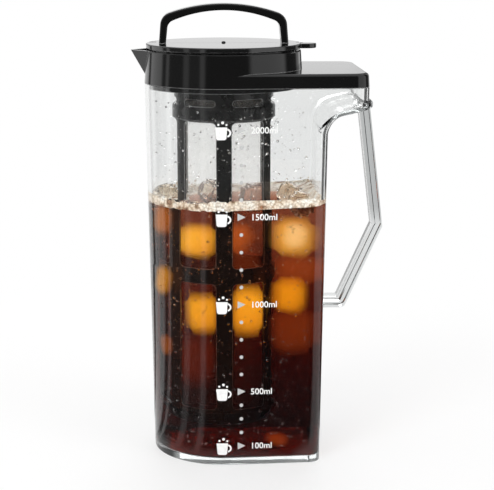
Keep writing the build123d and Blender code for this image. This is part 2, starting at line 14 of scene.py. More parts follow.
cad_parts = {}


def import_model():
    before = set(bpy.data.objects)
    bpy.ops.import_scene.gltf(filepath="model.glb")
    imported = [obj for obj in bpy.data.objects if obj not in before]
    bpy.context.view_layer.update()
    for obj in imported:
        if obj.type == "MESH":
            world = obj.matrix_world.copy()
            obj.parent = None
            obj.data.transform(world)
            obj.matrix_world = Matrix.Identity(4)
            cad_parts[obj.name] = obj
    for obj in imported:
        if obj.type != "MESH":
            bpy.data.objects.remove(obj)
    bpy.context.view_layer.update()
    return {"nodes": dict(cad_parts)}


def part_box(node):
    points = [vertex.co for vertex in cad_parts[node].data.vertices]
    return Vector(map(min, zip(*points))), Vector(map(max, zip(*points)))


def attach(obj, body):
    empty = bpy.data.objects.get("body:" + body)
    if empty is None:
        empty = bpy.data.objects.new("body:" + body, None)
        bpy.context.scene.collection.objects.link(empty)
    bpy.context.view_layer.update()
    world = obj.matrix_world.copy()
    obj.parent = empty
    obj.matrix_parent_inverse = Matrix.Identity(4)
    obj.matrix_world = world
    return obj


MM = 0.001

# ---- the jug's wall, as the CAD has it -------------------------------------------------------
BASE_RADIUS = 47.5          # rounded end of the footprint
DRAFT = math.radians(0.88)  # the walls lean outwards
FLANK = math.radians(2.3)   # the flanks close in towards the handle
BASE_REACH = 60.8           # from the axis to the end wall at the base
CORNER = 7.5                # plan radius of the two corners at the base
LEAST_CORNER = 0.6          # of an outline that is far inside the wall
WALL = 2.8
FLOOR = 3.6

# ---- printed scale on the front wall ---------------------------------------------------------
PRINT_LIFT = 0.06           # the print stands this far off the wall
PRINT_THICK = 0.03
LONGEST_EDGE = 3.0          # longer ones are cut, so that the print follows the round wall
SCALE_X = -2.6              # middle of the pictograms
ARROW_X = 9.0
ARROW_SIDE = 4.8
TEXT_X = 14.9
TEXT_HEIGHT = 4.1
CAPITALS = 0.72             # height of a figure as a share of the font's size
TEXT_BOLD = 0.07
MUG_SIZE = 12.0
DOT_RADIUS = 1.2
MARKS = (("2000ml", 220.0), ("1500ml", 165.1), ("1000ml", 108.3), ("500ml", 50.2), ("100ml", 13.1))
DOTS = (4, 4, 4, 3)         # between two marks, from the top

# ---- contents, which aren't part of the object -----------------------------------------------
LEVEL = 168.4               # surface of the coffee
SURFACE_RISE = 3.0          # ice and froth heap it up by this at the end wall
RISE_FROM = 25.0            # where the rise begins, and how far it takes
RISE_OVER = 35.0
COFFEE_INSET = 2.75         # a hair inside the wall's plastic, so that no gap shows
COFFEE_COLOUR = (0.62, 0.27, 0.08)
COFFEE_DENSITY = ((0.01, 145.0), (0.15, 45.0))  # absorption by height in metres: denser towards the bottom, as painted shade
FOAM_HEIGHT = 5.0
BUBBLES = 700
DROPS = 2200
DROPS_FROM, DROPS_TO = 12.0, 236.0

# ---- materials -------------------------------------------------------------------------------
PLASTIC_IOR = 1.49
BAR_IOR = 1.35              # the handle's mirrored lines stay thin
WATER_IOR = 1.33
ICE_IOR = 1.31
ARM_SHADE_HEIGHTS = (0.150, 0.162)  # heights in metres over which painted shade greys the handle's upper arm; the lower arm stays clearer
THREAD_PITCH = 0.00062      # of the woven mesh, in metres
EDGE_HIGHLIGHT_WIDTH = 0.7             # width of the painted highlight along the black mouldings' edges
EDGE_SHINE = 0.30

# ---- camera ----------------------------------------------------------------------------------
CAMERA = Vector((-0.0333, -0.9236, 0.3364))
LOOK = Vector((0.0512, 0.9761, -0.2112))
LENS = 103.6                # in millimetres, as Blender wants it
SENSOR = 36.0

# ---- studio, in metres -----------------------------------------------------------------------
FLOOR_RADIUS = 0.55
FLOOR_DROP = 0.0002         # keeps the floor off the jug's bottom
FLOOR_GREY = 0.86
PAINTED_SHADOW_GREY = 0.05           # painted shadow on the floor under the jug, where no light comes
SOFT_LIGHT = 0.6            # from all round, on matt surfaces
LAMP_TARGET = (0.0, 0.0, 0.15)


# ---- small helpers ---------------------------------------------------------------------------

def new_object(name, mesh):
    obj = bpy.data.objects.new(name, mesh)
    bpy.context.scene.collection.objects.link(obj)
    return obj


def mesh_object(name, bm, smooth=True):
    mesh = bpy.data.meshes.new(name)
    bm.to_mesh(mesh)
    bm.free()
    for poly in mesh.polygons:
        poly.use_smooth = smooth
    return new_object(name, mesh)


def wall_y(x, z):
    """Distance from the middle plane to the jug's flank at one place, in millimetres."""
    r = BASE_RADIUS + z * math.tan(DRAFT)
    if x <= r * math.sin(FLANK):
        return math.sqrt(max(r * r - x * x, 0.0))
    return (r - x * math.sin(FLANK)) / math.cos(FLANK)


def corner_middle(radius, reach, corner):
    """Middle of the corners' rounding, from the rounded end's radius and the end wall's reach."""
    x = reach - corner
    return x, (radius - corner - math.sin(FLANK) * x) / math.cos(FLANK)


def plan_points(z, inset, steps=72, corner_steps=10):
    """Closed plan outline of the jug at height z, inset from its outside, in millimetres."""
    grown = z * math.tan(DRAFT) - inset
    r = BASE_RADIUS + grown
    c = max(CORNER + grown, LEAST_CORNER)
    cx, cy = corner_middle(r, BASE_REACH + grown, c)
    points = []
    touch = math.pi / 2 - FLANK
    for i in range(steps + 1):
        a = touch + (math.tau - 2 * touch) * i / steps
        points.append((r * math.cos(a), r * math.sin(a)))
    for i in range(corner_steps + 1):
        a = -touch + touch * i / corner_steps
        points.append((cx + c * math.cos(a), -cy + c * math.sin(a)))
    for i in range(corner_steps + 1):
        a = touch * i / corner_steps
        points.append((cx + c * math.cos(a), cy + c * math.sin(a)))
    return points


# ---- materials -------------------------------------------------------------------------------

class Nodes:
    """Node tree of a material or a world, with short calls for making and joining nodes.

    A value that goes into a call is a number or colour, or the output of another node.
    """

    def __init__(self, owner, output="ShaderNodeOutputMaterial"):
        owner.use_nodes = True
        self.owner = owner
        self.tree = owner.node_tree
        self.tree.nodes.clear()
        self.out = self.add(output)

    def add(self, kind, **values):
        """New node. Each value goes to its setting, or to its input, of that name."""
        node = self.tree.nodes.new(kind)
        for key, value in values.items():
            if hasattr(node, key):
                setattr(node, key, value)
            else:
                self.feed(node.inputs[key.replace("_", " ")], value)
        return node

    def join(self, source, target):
        self.tree.links.new(source, target)

    def feed(self, socket, value):
        if isinstance(value, bpy.types.NodeSocket):
            self.join(value, socket)
        elif socket.type == "RGBA" and len(value) == 3:
            socket.default_value = (*value, 1.0)
        else:
            socket.default_value = value

    def feed_all(self, node, *values):
        for socket, value in zip(node.inputs, values):
            self.feed(socket, value)
        return node

    def shader(self, **values):
        return self.add("ShaderNodeBsdfPrincipled", **values)

    def coords(self, kind="Object"):
        """Object coordinates, which stay with the piece, or those of another kind."""
        return self.add("ShaderNodeTexCoord").outputs[kind]

    def mapped(self, vector, scale, location=(0, 0, 0)):
        node = self.add("ShaderNodeMapping", Vector=vector, Scale=scale, Location=location)
        return node.outputs["Vector"]

    def axes(self, vector):
        node = self.add("ShaderNodeSeparateXYZ", Vector=vector)
        return [node.outputs[axis] for axis in "XYZ"]

    def vector_math(self, operation, *vectors):
        return self.feed_all(self.add("ShaderNodeVectorMath", operation=operation), *vectors).outputs

    def length(self, vector):
        return self.vector_math("LENGTH", vector)["Value"]

    def math(self, operation, *values):
        return self.feed_all(self.add("ShaderNodeMath", operation=operation), *values).outputs["Value"]

    def noise(self, vector, scale, detail=2.0, roughness=0.5):
        node = self.add(
            "ShaderNodeTexNoise", Vector=vector, Scale=scale, Detail=detail, Roughness=roughness
        )
        return node.outputs["Fac"]

    def ramp(self, value, stops):
        """Colour, or grey from one number, by a value from 0 to 1."""
        node = self.add("ShaderNodeValToRGB", Fac=value)
        elements = node.color_ramp.elements
        while len(elements) < len(stops):
            elements.new(0.5)
        for element, (place, colour) in zip(elements, stops):
            element.position = place
            rgb = colour if isinstance(colour, tuple) else (colour, colour, colour)
            element.color = (*rgb, 1.0)
        return node.outputs["Color"]

    def remap(self, value, start, end, low=0.0, high=1.0):
        """Low to high as the value goes from start to end, and no further."""
        node = self.add(
            "ShaderNodeMapRange", Value=value, From_Min=start, From_Max=end, To_Min=low, To_Max=high
        )
        return node.outputs["Result"]

    def spread(self, value, low, high):
        """Maps a 0 to 1 value to a range."""
        return self.remap(value, 0.0, 1.0, low, high)

    def mix(self, blend_type, factor, first, second):
        node = self.add("ShaderNodeMixRGB", blend_type=blend_type)
        return self.feed_all(node, factor, first, second).outputs["Color"]

    def blend(self, factor, first, second):
        """The first shader at 0 and the second at 1."""
        return self.feed_all(self.add("ShaderNodeMixShader"), factor, first, second).outputs["Shader"]

    def bump(self, height, strength, distance):
        node = self.add("ShaderNodeBump", Height=height, Strength=strength, Distance=distance)
        return node.outputs["Normal"]

    def finish(self, surface, volume=None):
        self.join(surface, self.out.inputs["Surface"])
        if volume is not None:
            self.join(volume, self.out.inputs["Volume"])
        return self.owner

    def see_through(self):
        """Surface that isn't there, round a volume."""
        return self.add("ShaderNodeBsdfTransparent").outputs["BSDF"]

    def let_lamps_through(self, shader, tint):
        """Clear things let lamp light through to what is behind them."""
        shadow = self.add("ShaderNodeLightPath").outputs["Is Shadow Ray"]
        clear = self.add("ShaderNodeBsdfTransparent", Color=tint)
        return self.blend(shadow, shader.outputs["BSDF"], clear.outputs["BSDF"])


def new_material(name):
    return Nodes(bpy.data.materials.new(name))


def shades(colour, *stops):
    """Ramp of a colour, made darker and lighter: place and factor of each stop."""
    return [(place, tuple(c * factor for c in colour)) for place, factor in stops]


def depth_in_wall(m, x, y, z):
    """Distance of a point from the jug's outside, negative inside, in millimetres."""
    lean = m.math("MULTIPLY", z, math.tan(DRAFT))
    side = m.math("ABSOLUTE", y)
    cx, cy = corner_middle(BASE_RADIUS, BASE_REACH, CORNER)

    def length(a, b):
        return m.math("SQRT", m.math("ADD", m.math("MULTIPLY", a, a), m.math("MULTIPLY", b, b)))

    def choose(mask, if_one, if_zero):
        other = m.math("SUBTRACT", 1.0, mask)
        return m.math("ADD", m.math("MULTIPLY", mask, if_one), m.math("MULTIPLY", other, if_zero))

    spout_end = m.math("SUBTRACT", length(x, y), BASE_RADIUS)
    across, along = m.math("MULTIPLY", side, math.cos(FLANK)), m.math("MULTIPLY", x, math.sin(FLANK))
    flank = m.math("SUBTRACT", m.math("ADD", across, along), BASE_RADIUS)
    past_x = m.math("MAXIMUM", m.math("SUBTRACT", x, cx), 0.0)
    past_y = m.math("MAXIMUM", m.math("SUBTRACT", side, cy), 0.0)
    corner = m.math("SUBTRACT", length(past_x, past_y), CORNER)
    straight = choose(m.math("GREATER_THAN", x, BASE_RADIUS * math.sin(FLANK)), flank, spout_end)
    outside = choose(m.math("GREATER_THAN", x, cx), corner, straight)
    return m.math("SUBTRACT", outside, lean)


def wetted(m):
    """1 on the jug's inside where coffee or froth touches it."""
    x, y, z = (m.math("DIVIDE", axis, MM) for axis in m.axes(m.coords()))
    inner = m.math("LESS_THAN", depth_in_wall(m, x, y, z), -WALL / 2)
    under = m.math("LESS_THAN", z, LEVEL + FOAM_HEIGHT + 1.0)
    above = m.math("GREATER_THAN", z, FLOOR / 2)
    return m.math("MULTIPLY", inner, m.math("MULTIPLY", under, above))


def clear_plastic(m, tint, wave, density, ior):
    """Clear moulded plastic: polished, with slow waves from the mould, greyer where it is thick."""
    absorb = m.add("ShaderNodeVolumeAbsorption", Color=(0.30, 0.32, 0.32), Density=density)
    shader = m.shader(Base_Color=tint, IOR=ior, Roughness=0.0, Transmission_Weight=1.0)
    where = m.mapped(m.coords(), (1, 1, 0.35))
    m.join(m.bump(m.noise(where, 26.0), wave, 0.0006), shader.inputs["Normal"])
    m.join(m.spread(m.noise(where, 60.0), 0.0, 0.035), shader.inputs["Roughness"])
    m.finish(m.let_lamps_through(shader, (0.93, 0.94, 0.94)), absorb.outputs["Volume"])
    return shader


def jug_plastic(name):
    """Clear plastic that bends light less where coffee touches it."""
    m = new_material(name)
    shader = clear_plastic(m, (0.975, 0.98, 0.977), 0.10, 20.0, PLASTIC_IOR)
    m.join(m.spread(wetted(m), PLASTIC_IOR, PLASTIC_IOR / WATER_IOR), shader.inputs["IOR"])
    return m.owner


def bar_plastic(name):
    """Clear plastic of the handle, with painted shade that greys its upper arm."""
    m = new_material(name)
    grey = (0.66, 0.67, 0.67)
    shader = clear_plastic(m, grey, 0.25, 25.0, BAR_IOR)
    height = m.axes(m.coords())[2]
    # painted shade: the tint turns grey from the lower arm to the upper one
    tint = m.ramp(m.remap(height, *ARM_SHADE_HEIGHTS), [(0.0, (0.97, 0.98, 0.98)), (1.0, grey)])
    m.join(tint, shader.inputs["Base Color"])
    return m.owner


def painted_edge_highlight(m, tone):
    """A moulding's tone, with a painted highlight along its edges."""
    rounded = m.add("ShaderNodeBevel", samples=6, Radius=EDGE_HIGHLIGHT_WIDTH * MM).outputs["Normal"]
    normal = m.add("ShaderNodeNewGeometry").outputs["Normal"]
    edge = m.remap(m.vector_math("DOT_PRODUCT", rounded, normal)["Value"], 0.98, 0.80)
    return m.mix("MIX", edge, tone, (EDGE_SHINE, EDGE_SHINE, EDGE_SHINE))


def level_below(m, height):
    """1 on level faces lower than a height in millimetres."""
    facing = m.axes(m.add("ShaderNodeNewGeometry").outputs["Normal"])[2]
    low = m.math("LESS_THAN", m.axes(m.coords())[2], height * MM)
    return m.math("MULTIPLY", m.math("GREATER_THAN", facing, 0.9), low)


def black_gloss(
    name, colour=(0.005, 0.005, 0.005), roughness=(0.05, 0.13), wave=0.05, painted_shade_below=None, ior=1.5
):
    """Black moulded plastic with a polished skin, faint haze, a mottled tone and a painted highlight
    along its edges.

    Level floors of recesses below the height given, in millimetres, lose their reflection: painted
    shade in the recesses.
    """
    m = new_material(name)
    shader = m.shader(IOR=ior)
    where = m.coords()
    tone = m.ramp(m.noise(where, 14.0, 3.0), shades(colour, (0.3, 0.8), (0.7, 1.25)))
    # painted highlight: the black tone turns grey along the edges
    m.join(painted_edge_highlight(m, tone), shader.inputs["Base Color"])
    haze = m.noise(where, 38.0, 6.0, 0.65)
    m.join(m.spread(haze, *roughness), shader.inputs["Roughness"])
    m.join(m.bump(m.noise(where, 34.0, 1.0), wave, 0.0004), shader.inputs["Normal"])
    if painted_shade_below is not None:
        # painted shade: level recess floors lose their reflection and turn black
        m.join(m.spread(level_below(m, painted_shade_below), 0.62, 0.0), shader.inputs["Specular IOR Level"])
    return m.finish(shader.outputs["BSDF"])


def mesh_screen(name, radius):
    """Fine woven mesh wrapped round the basket: threads cross at a right angle."""
    m = new_material(name)
    where = m.coords()
    x, y, z = m.axes(where)
    around = m.math("MULTIPLY", m.math("ARCTAN2", y, x), radius)

    def threads(run):
        return m.math("ABSOLUTE", m.math("SINE", m.math("MULTIPLY", run, math.tau / THREAD_PITCH / 2)))

    thread = m.math("MAXIMUM", threads(around), threads(z))
    colour = m.ramp(m.noise(where, 30.0, 4.0), [(0.35, (0.55, 0.53, 0.50)), (0.7, (0.80, 0.79, 0.77))])
    soaked = m.math("LESS_THAN", z, LEVEL * MM)
    shader = m.shader(Roughness=0.45, IOR=1.5)
    m.join(m.mix("MULTIPLY", soaked, colour, (0.40, 0.10, 0.04)), shader.inputs["Base Color"])
    m.join(m.bump(thread, 0.4, 0.0001), shader.inputs["Normal"])
    m.join(m.spread(thread, 0.01, 0.13), shader.inputs["Alpha"])
    return m.finish(shader.outputs["BSDF"])


def soft_rubber(name, colour):
    m = new_material(name)
    shader = m.shader(Roughness=0.55, IOR=1.42)
    where = m.coords()
    tone = m.ramp(m.noise(where, 60.0, 4.0), shades(colour, (0.3, 0.75), (0.75, 1.3)))
    m.join(tone, shader.inputs["Base Color"])
    m.join(m.bump(m.noise(where, 900.0), 0.15, 0.0001), shader.inputs["Normal"])
    return m.finish(shader.outputs["BSDF"])


def printed_ink(name, light):
    m = new_material(name)
    shader = m.shader(Roughness=0.35, IOR=1.45)
    tone = m.ramp(m.noise(m.coords(), 700.0, 3.0), [
        (0.2, (light * 0.86, light * 0.86, light * 0.85)), (0.6, (light, light, light * 0.99)),
    ])
    m.join(tone, shader.inputs["Base Color"])
    return m.finish(shader.outputs["BSDF"])


def coffee_liquid(name):
    """Cold coffee: amber where it is thin and nearly black where it is deep, and denser towards the
    bottom as painted shade.
    """
    m = new_material(name)
    (low, dense), (high, thin) = COFFEE_DENSITY
    # painted shade: the coffee absorbs more towards the bottom
    density = m.remap(m.axes(m.coords())[2], low, high, dense, thin)
    absorb = m.add("ShaderNodeVolumeAbsorption", Color=COFFEE_COLOUR, Density=density)
    return m.finish(m.see_through(), absorb.outputs["Volume"])


def foam_cream(name):
    """Froth: cells with darker films between them, thin and brown in patches."""
    m = new_material(name)
    shader = m.shader(Roughness=0.6, IOR=1.33)
    where = m.coords()
    cells = m.add("ShaderNodeTexVoronoi", Vector=where, Scale=620.0).outputs["Distance"]
    patches = m.noise(where, 110.0, 4.0)
    tone = m.ramp(patches, [
        (0.34, (0.42, 0.25, 0.14)), (0.44, (0.90, 0.77, 0.62)), (0.58, (1.0, 0.97, 0.90)),
    ])
    films = m.ramp(cells, [(0.35, 1.0), (0.80, (0.55, 0.47, 0.40))])
    m.join(m.mix("MULTIPLY", 1.0, tone, films), shader.inputs["Base Color"])
    m.join(m.bump(cells, 0.5, 0.0006), shader.inputs["Normal"])
    m.join(m.ramp(patches, [(0.25, 0.35), (0.45, 0.95)]), shader.inputs["Alpha"])
    return m.finish(shader.outputs["BSDF"])


def painted_ice_glow(name, colour, strength):
    """Ice under coffee, a painted glow that stands in for the light it gathers: brightest in its
    middle, with a soft edge.
    """
    m = new_material(name)
    box = m.coords("Generated")
    centred = m.mapped(box, (2.0, 2.0, 2.0), (-1.0, -1.0, -1.0))
    squared = m.vector_math("MULTIPLY", centred, centred)["Vector"]
    away = m.math("MULTIPLY", m.length(squared), m.spread(m.noise(box, 3.0), 0.7, 1.3))
    light = m.remap(away, 0.25, 0.95, 1.1 * strength, 0.05 * strength)
    # painted light: the ice glows though it is no lamp
    glow = m.add("ShaderNodeEmission", Color=colour, Strength=light)
    return m.finish(m.see_through(), glow.outputs["Emission"])


def clear_water(name):
    m = new_material(name)
    shader = m.shader(Base_Color=(1.0, 1.0, 1.0), IOR=WATER_IOR, Roughness=0.0)
    m.feed(shader.inputs["Transmission Weight"], 1.0)
    return m.finish(m.let_lamps_through(shader, (1.0, 1.0, 1.0)))


def clear_ice(name):
    m = new_material(name)
    shader = m.shader(Base_Color=(0.93, 0.85, 0.74), IOR=ICE_IOR, Roughness=0.08)
    m.feed(shader.inputs["Transmission Weight"], 1.0)
    m.join(m.bump(m.noise(m.coords(), 160.0, 4.0), 0.6, 0.002), shader.inputs["Normal"])
    return m.finish(m.let_lamps_through(shader, (0.9, 0.85, 0.8)))


def assign(obj, material):
    obj.data.materials.clear()
    obj.data.materials.append(material)
    return obj


# ---- printed scale ---------------------------------------------------------------------------

def onto_wall(bm):
    """Moves a flat drawing, x and z in millimetres, onto the front wall of the jug, in metres."""
    for v in bm.verts:
        x, _, z = v.co
        v.co = Vector((x, -(wall_y(x, z) + PRINT_LIFT), z)) * MM


def flat_polygon(bm, points):
    bm.faces.new([bm.verts.new((x, 0.0, z)) for x, z in points])


def round_dot(bm, x, z, radius, steps=20):
    flat_polygon(bm, [
        (x + radius * math.cos(math.tau * i / steps), z + radius * math.sin(math.tau * i / steps))
        for i in range(steps)
    ])


def drawn_mug(bm, x, z, size):
    """Generic mug with an open handle and three dots over it; its measures are shares of size."""
    w, h = size * 0.62, size * 0.66
    left, low = x - size * 0.38, z - size * 0.5
    bevel = size * 0.07
    taper = size * 0.05
    flat_polygon(bm, [
        (left, low + h), (left + taper, low + bevel), (left + taper + bevel, low),
        (left + w - bevel - taper, low), (left + w - taper, low + bevel), (left + w, low + h),
    ])
    handle_x, handle_z = left + w - size * 0.03, low + h * 0.56
    outer, inner, steps = size * 0.23, size * 0.14, 12
    for i in range(steps):
        a, b = (math.radians(-80 + 160 * k / steps) for k in (i, i + 1))
        flat_polygon(bm, [
            (handle_x + outer * math.cos(a), handle_z + outer * math.sin(a)),
            (handle_x + outer * math.cos(b), handle_z + outer * math.sin(b)),
            (handle_x + inner * math.cos(b), handle_z + inner * math.sin(b)),
            (handle_x + inner * math.cos(a), handle_z + inner * math.sin(a)),
        ])
    for dx, dz, r in ((-0.22, 0.30, 0.06), (0.0, 0.40, 0.075), (0.20, 0.29, 0.055)):
        round_dot(bm, x + dx * size, z + dz * size, r * size, 14)


def text_mesh(text, height):
    """Outlines of a word as mesh faces, x along the word and y up, in millimetres."""
    curve = bpy.data.curves.new("word", "FONT")
    curve.body = text
    curve.size = height / CAPITALS
    curve.offset = TEXT_BOLD
    curve.resolution_u = 4
    holder = bpy.data.objects.new("word", curve)
    bpy.context.scene.collection.objects.link(holder)
    bpy.context.view_layer.update()
    mesh = bpy.data.meshes.new_from_object(holder.evaluated_get(bpy.context.evaluated_depsgraph_get()))
    bpy.data.objects.remove(holder)
    return mesh


def add_word(bm, text, x, z, height):
    part = bmesh.new()
    part.from_mesh(text_mesh(text, height))
    bmesh.ops.transform(part, matrix=Matrix.Translation((x, z - height / 2, 0)), verts=part.verts)
    copied = {v: bm.verts.new((v.co.x, 0.0, v.co.y)) for v in part.verts}
    for face in part.faces:
        bm.faces.new([copied[v] for v in face.verts])
    part.free()


def print_on_jug(name, bm, material):
    """Turns a flat drawing into ink on the jug's wall, which rides the jug."""
    bmesh.ops.triangulate(bm, faces=bm.faces)
    bmesh.ops.subdivide_edges(
        bm, edges=[e for e in bm.edges if e.calc_length() > LONGEST_EDGE], cuts=2, use_grid_fill=True
    )
    bmesh.ops.recalc_face_normals(bm, faces=bm.faces)
    onto_wall(bm)
    obj = mesh_object(name, bm, smooth=False)
    solid = obj.modifiers.new("ink", "SOLIDIFY")
    solid.thickness = PRINT_THICK * MM
    solid.offset = 0
    assign(obj, material)
    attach(obj, "jug")


def printed_scale(bright, dim):
    words, pointers = bmesh.new(), bmesh.new()
    for word, z in MARKS:
        drawn_mug(words, SCALE_X, z, MUG_SIZE)
        add_word(words, word, TEXT_X, z, TEXT_HEIGHT)
        back, tip = ARROW_X - ARROW_SIDE / 2, ARROW_X + ARROW_SIDE * 0.55
        flat_polygon(pointers, [(back, z - ARROW_SIDE / 2), (tip, z), (back, z + ARROW_SIDE / 2)])
    for count, (_, high), (_, low) in zip(DOTS, MARKS, MARKS[1:]):
        for i in range(count):
            round_dot(pointers, ARROW_X, low + (high - low) * (i + 1) / (count + 1), DOT_RADIUS)
    print_on_jug("printed_scale", words, bright)
    print_on_jug("printed_pointers", pointers, dim)


# ---- contents --------------------------------------------------------------------------------

def surface(x):
    """Height of the coffee's surface, which rises towards the handle."""
    return LEVEL + SURFACE_RISE * min(max((x - RISE_FROM) / RISE_OVER, 0.0), 1.0) ** 2


def join_rows(bm, rows):
    """Faces between closed rows of vertices, each with the next."""
    for a, b in zip(rows, rows[1:]):
        for i in range(len(a)):
            j = (i + 1) % len(a)
            bm.faces.new((a[i], a[j], b[j], b[i]))


def coffee_body(material):
    """Coffee up to its level, against the jug's wall, with its lower edge rounded off."""
    bm = bmesh.new()
    rows = []
    for z, more in ((FLOOR + 0.1, 2.0), (FLOOR + 1.5, 0.2), (FLOOR + 6.0, 0.0), (LEVEL, 0.0)):
        outline = plan_points(z, COFFEE_INSET + more)
        rows.append([
            bm.verts.new((x * MM, y * MM, (surface(x) if z == LEVEL else z) * MM)) for x, y in outline
        ])
    join_rows(bm, rows)
    bm.faces.new(list(reversed(rows[0])))
    bm.faces.new(rows[-1])
    bmesh.ops.recalc_face_normals(bm, faces=bm.faces)
    obj = mesh_object("coffee", bm, smooth=False)
    assign(obj, material)


def beads(name, spots, material):
    """One mesh of small balls, from their places and radii in millimetres."""
    ball = bmesh.new()
    bmesh.ops.create_icosphere(ball, subdivisions=2, radius=1.0)
    ball.verts.index_update()
    points = [v.co.copy() for v in ball.verts]
    faces = [[v.index for v in f.verts] for f in ball.faces]
    ball.free()
    verts, polygons = [], []
    for place, radius in spots:
        start = len(verts)
        verts += [(Vector(place) + p * radius) * MM for p in points]
        polygons += [[start + i for i in f] for f in faces]
    mesh = bpy.data.meshes.new(name)
    mesh.from_pydata(verts, [], polygons)
    mesh.polygons.foreach_set("use_smooth", [True] * len(polygons))
    assign(new_object(name, mesh), material)


def bubbles(material):
    """Round bubbles on the froth, many small and few large, thickest along the wall."""
    rng = random.Random(5)
    spots = []
    for _ in range(BUBBLES):
        inset = WALL + 0.9 + rng.random() ** 2 * 16.0
        ring = plan_points(LEVEL, inset, 400)
        x, y = ring[rng.randrange(len(ring))]
        radius = 0.35 + 0.9 * rng.random() ** 3
        height = surface(x) + rng.random() * FOAM_HEIGHT * (1.1 if inset < WALL + 2.5 else 0.5)
        spots.append(((x, y, height), radius))
    beads("bubbles", spots, material)


def foam_ring(material):
    """Uneven froth on the surface, heaped along the wall."""
    bm = bmesh.new()
    # distance from the wall's inner face, and share of the full height
    rings = (
        (0.15, 0.0), (0.15, 0.6), (0.2, 1.0), (1.2, 0.95), (2.6, 0.75), (5.0, 0.5), (9.0, 0.3),
        (14.0, 0.2), (24.0, 0.12),
    )
    rows = []
    for inset, lift in rings:
        row = []
        for x, y in plan_points(LEVEL, WALL + inset, 260):
            swell = noise.noise(Vector((x * 0.09, y * 0.09, 0.0)))
            froth = noise.noise(Vector((x * 0.45, y * 0.45, inset)))
            height = FOAM_HEIGHT * lift * (1.0 + 0.5 * swell + 0.35 * froth) if lift else 0.7 * froth
            if y > 0:
                height *= 0.4
            row.append(bm.verts.new((x * MM, y * MM, (surface(x) + 0.1 + height) * MM)))
        rows.append(row)
    join_rows(bm, rows)
    bmesh.ops.recalc_face_normals(bm, faces=bm.faces)
    obj = mesh_object("foam", bm)
    assign(obj, material)


# under the surface: place in millimetres, width and height, turn in degrees, and tone of its painted
# glow
ICE = (
    ((43.0, -27.0, 149.0), (29, 27), 8, "pale"), ((44.0, -29.0, 150.0), (17, 18), 30, "white"),
    ((-15.0, -13.0, 144.5), (23, 24), 10, "gold"), ((40.4, -27.0, 110.5), (25, 24), 12, "amber"),
    ((14.0, -13.0, 98.0), (25, 35), 4, "yellow"), ((-12.4, -13.0, 96.0), (21, 29), -6, "yellow"),
    ((-36.5, -15.0, 118.0), (13, 21), 20, "amber"), ((-36.5, -14.0, 158.0), (14, 22), 15, "brown"),
    ((-35.0, -15.0, 74.0), (10, 15), -12, "brown"), ((33.0, -24.0, 11.5), (16, 9), 30, "brown"),
    ((8.0, -10.0, 146.0), (20, 22), 50, "brown"), ((45.0, -21.0, 126.0), (32, 22), 6, "deep"),
    ((43.0, -21.0, 86.0), (32, 34), -8, "deep"), ((-16.0, -12.0, 64.0), (23, 36), 9, "deep"),
    ((12.0, -12.0, 128.0), (22, 22), -14, "deep"),
)
# on the surface: place in millimetres, size and turn in degrees
FLOATING = (
    ((18.5, -3.0, 170.5), 15, 25), ((42.5, -4.0, 171.5), 14, 55), ((48.0, -24.0, 169.5), 14, 15),
    ((-8.0, 14.0, 170.5), 15, 40), ((-38.0, 8.0, 170.0), 13, -25),
)


def ice_cube(name, place, width, height, turn, material, melt=0.0):
    """Rounded cube with uneven faces, drawn towards a ball by the share melt."""
    bm = bmesh.new()
    bmesh.ops.create_cube(bm, size=1.0)
    bmesh.ops.bevel(bm, geom=list(bm.edges), offset=0.2, segments=3, affect="EDGES")
    bmesh.ops.subdivide_edges(bm, edges=list(bm.edges), cuts=3, use_grid_fill=True)
    for v in bm.verts:
        v.co = v.co.lerp(v.co.normalized() * 0.58, melt)
        v.co *= 1.0 + 0.16 * noise.noise(v.co * 2.6 + Vector(place))
    bmesh.ops.scale(bm, vec=(width * MM, width * MM, height * MM), verts=bm.verts)
    cube = assign(mesh_object(name, bm), material)
    cube.matrix_world = Matrix.Translation(Vector(place) * MM) @ Matrix.Rotation(
        math.radians(turn), 4, Vector((0.3, 0.5, 1.0)).normalized()
    )


def droplets(material):
    """Water that has settled on the outside of the cold jug, on both flanks."""
    rng = random.Random(9)
    spots = []
    for _ in range(DROPS):
        x = rng.uniform(3.0 - BASE_RADIUS, BASE_REACH - CORNER)
        z = rng.uniform(DROPS_FROM, DROPS_TO)
        side = -1 if rng.random() < 0.5 else 1
        radius = 0.25 + 0.65 * rng.random() ** 3
        spots.append(((x, side * (wall_y(x, z) + 0.35 * radius), z), radius))
    beads("droplets", spots, material)


def ice_cubes():
    """Ice under the surface, each cube with its own painted glow, and clear ice on the surface."""
    # painted glows of the ice under the surface, by tone
    painted_glows = {
        "white": painted_ice_glow("ice_painted_glow_white", (0.55, 0.92, 0.80), 20.0),
        "pale": painted_ice_glow("ice_painted_glow_pale", (1.0, 0.62, 0.08), 34.0),
        "yellow": painted_ice_glow("ice_painted_glow_yellow", (0.95, 0.86, 0.05), 140.0),
        "gold": painted_ice_glow("ice_painted_glow_gold", (1.0, 0.74, 0.05), 82.0),
        "amber": painted_ice_glow("ice_painted_glow_amber", (1.0, 0.50, 0.01), 50.0),
        "brown": painted_ice_glow("ice_painted_glow_brown", (1.0, 0.34, 0.02), 32.0),
        "deep": painted_ice_glow("ice_painted_glow_deep", (1.0, 0.26, 0.03), 9.0),
    }
    clear = clear_ice("ice_clear")
    for number, (place, (width, height), turn, tone) in enumerate(ICE):
        ice_cube(f"ice_{number}", place, width, height, turn, painted_glows[tone], melt=0.3)
    for number, (place, size, turn) in enumerate(FLOATING):
        ice_cube(f"floating_ice_{number}", place, size, size, turn, clear)


# ---- stage -----------------------------------------------------------------------------------

